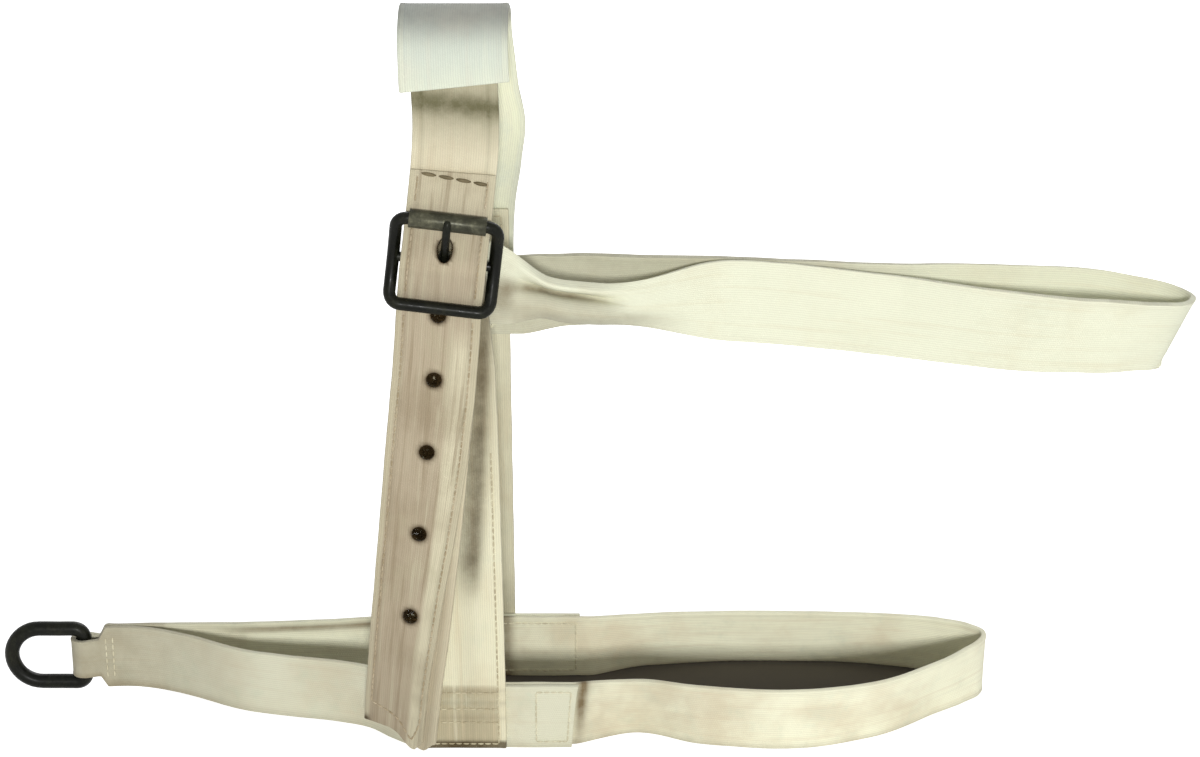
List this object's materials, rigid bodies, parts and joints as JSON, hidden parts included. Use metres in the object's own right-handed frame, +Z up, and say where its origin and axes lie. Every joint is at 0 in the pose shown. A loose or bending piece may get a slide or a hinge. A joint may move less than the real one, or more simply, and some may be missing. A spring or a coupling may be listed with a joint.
{
  "type": "webbing halter",
  "caption": "Cotton-web halter for a horse or mule with noseband, chin loop and lead dee, browband, crown piece, and a punched billet held by an iron roller buckle.",
  "frame": {"origin": "centre of the bounding box's base, on the floor that the noseband stands on", "axes": "+X from the lead dee toward the muzzle end, +Y from the near (buckled) side to the far side, +Z up toward the crown"},
  "size_m": [0.5662, 0.1106, 0.3501],
  "materials": {
    "linen_web": "bleached cotton web, cream",
    "tan_web": "cotton web, worn tan",
    "crown_web": "wide cotton web, cool white",
    "japanned_iron": "black japanned malleable iron, worn at the edges"
  },
  "bodies": {
    "halter": {"crown_strap": "crown_web", "billet_base_upper": "linen_web", "billet_face_upper": "tan_web", "near_cheek_strap": "linen_web", "far_cheek_strap": "linen_web", "nose_strap": "linen_web", "chin_strap": "linen_web", "brow_strap": "linen_web"},
    "billet_end": {"billet_base_end": "linen_web", "billet_face_end": "tan_web"},
    "dee": {"lead_dee": "japanned_iron"},
    "buckle": {"buckle_frame": "japanned_iron"},
    "roller": {"buckle_roller": "japanned_iron"},
    "prong": {"buckle_prong": "japanned_iron"}
  },
  "joints": [
    {"name": "dee_swing", "type": "hinge", "parent": "halter", "child": "dee", "pos_m": [-0.24382, 0.02234, 0.0187], "axis": [0, 0, 1], "range_deg": [-130, 130]},
    {"name": "billet_end_lift", "type": "hinge", "parent": "halter", "child": "billet_end", "pos_m": [-0.06368, -0.04029, 0.2071], "axis": [-1, 0, 0], "range_deg": [0, 70]},
    {"name": "buckle_rock", "type": "hinge", "parent": "halter", "child": "buckle", "pos_m": [-0.06012, -0.03766, 0.2411], "axis": [0.9925, 0, -0.1219], "range_deg": [-2, 2]},
    {"name": "roller_spin", "type": "hinge", "parent": "buckle", "child": "roller", "pos_m": [-0.05768, -0.04367, 0.26095], "axis": [0.9925, 0, -0.1219], "continuous": true},
    {"name": "prong_pivot", "type": "hinge", "parent": "buckle", "child": "prong", "pos_m": [-0.06012, -0.03766, 0.2411], "axis": [0.9925, 0, -0.1219], "range_deg": [0, 5]}
  ]
}
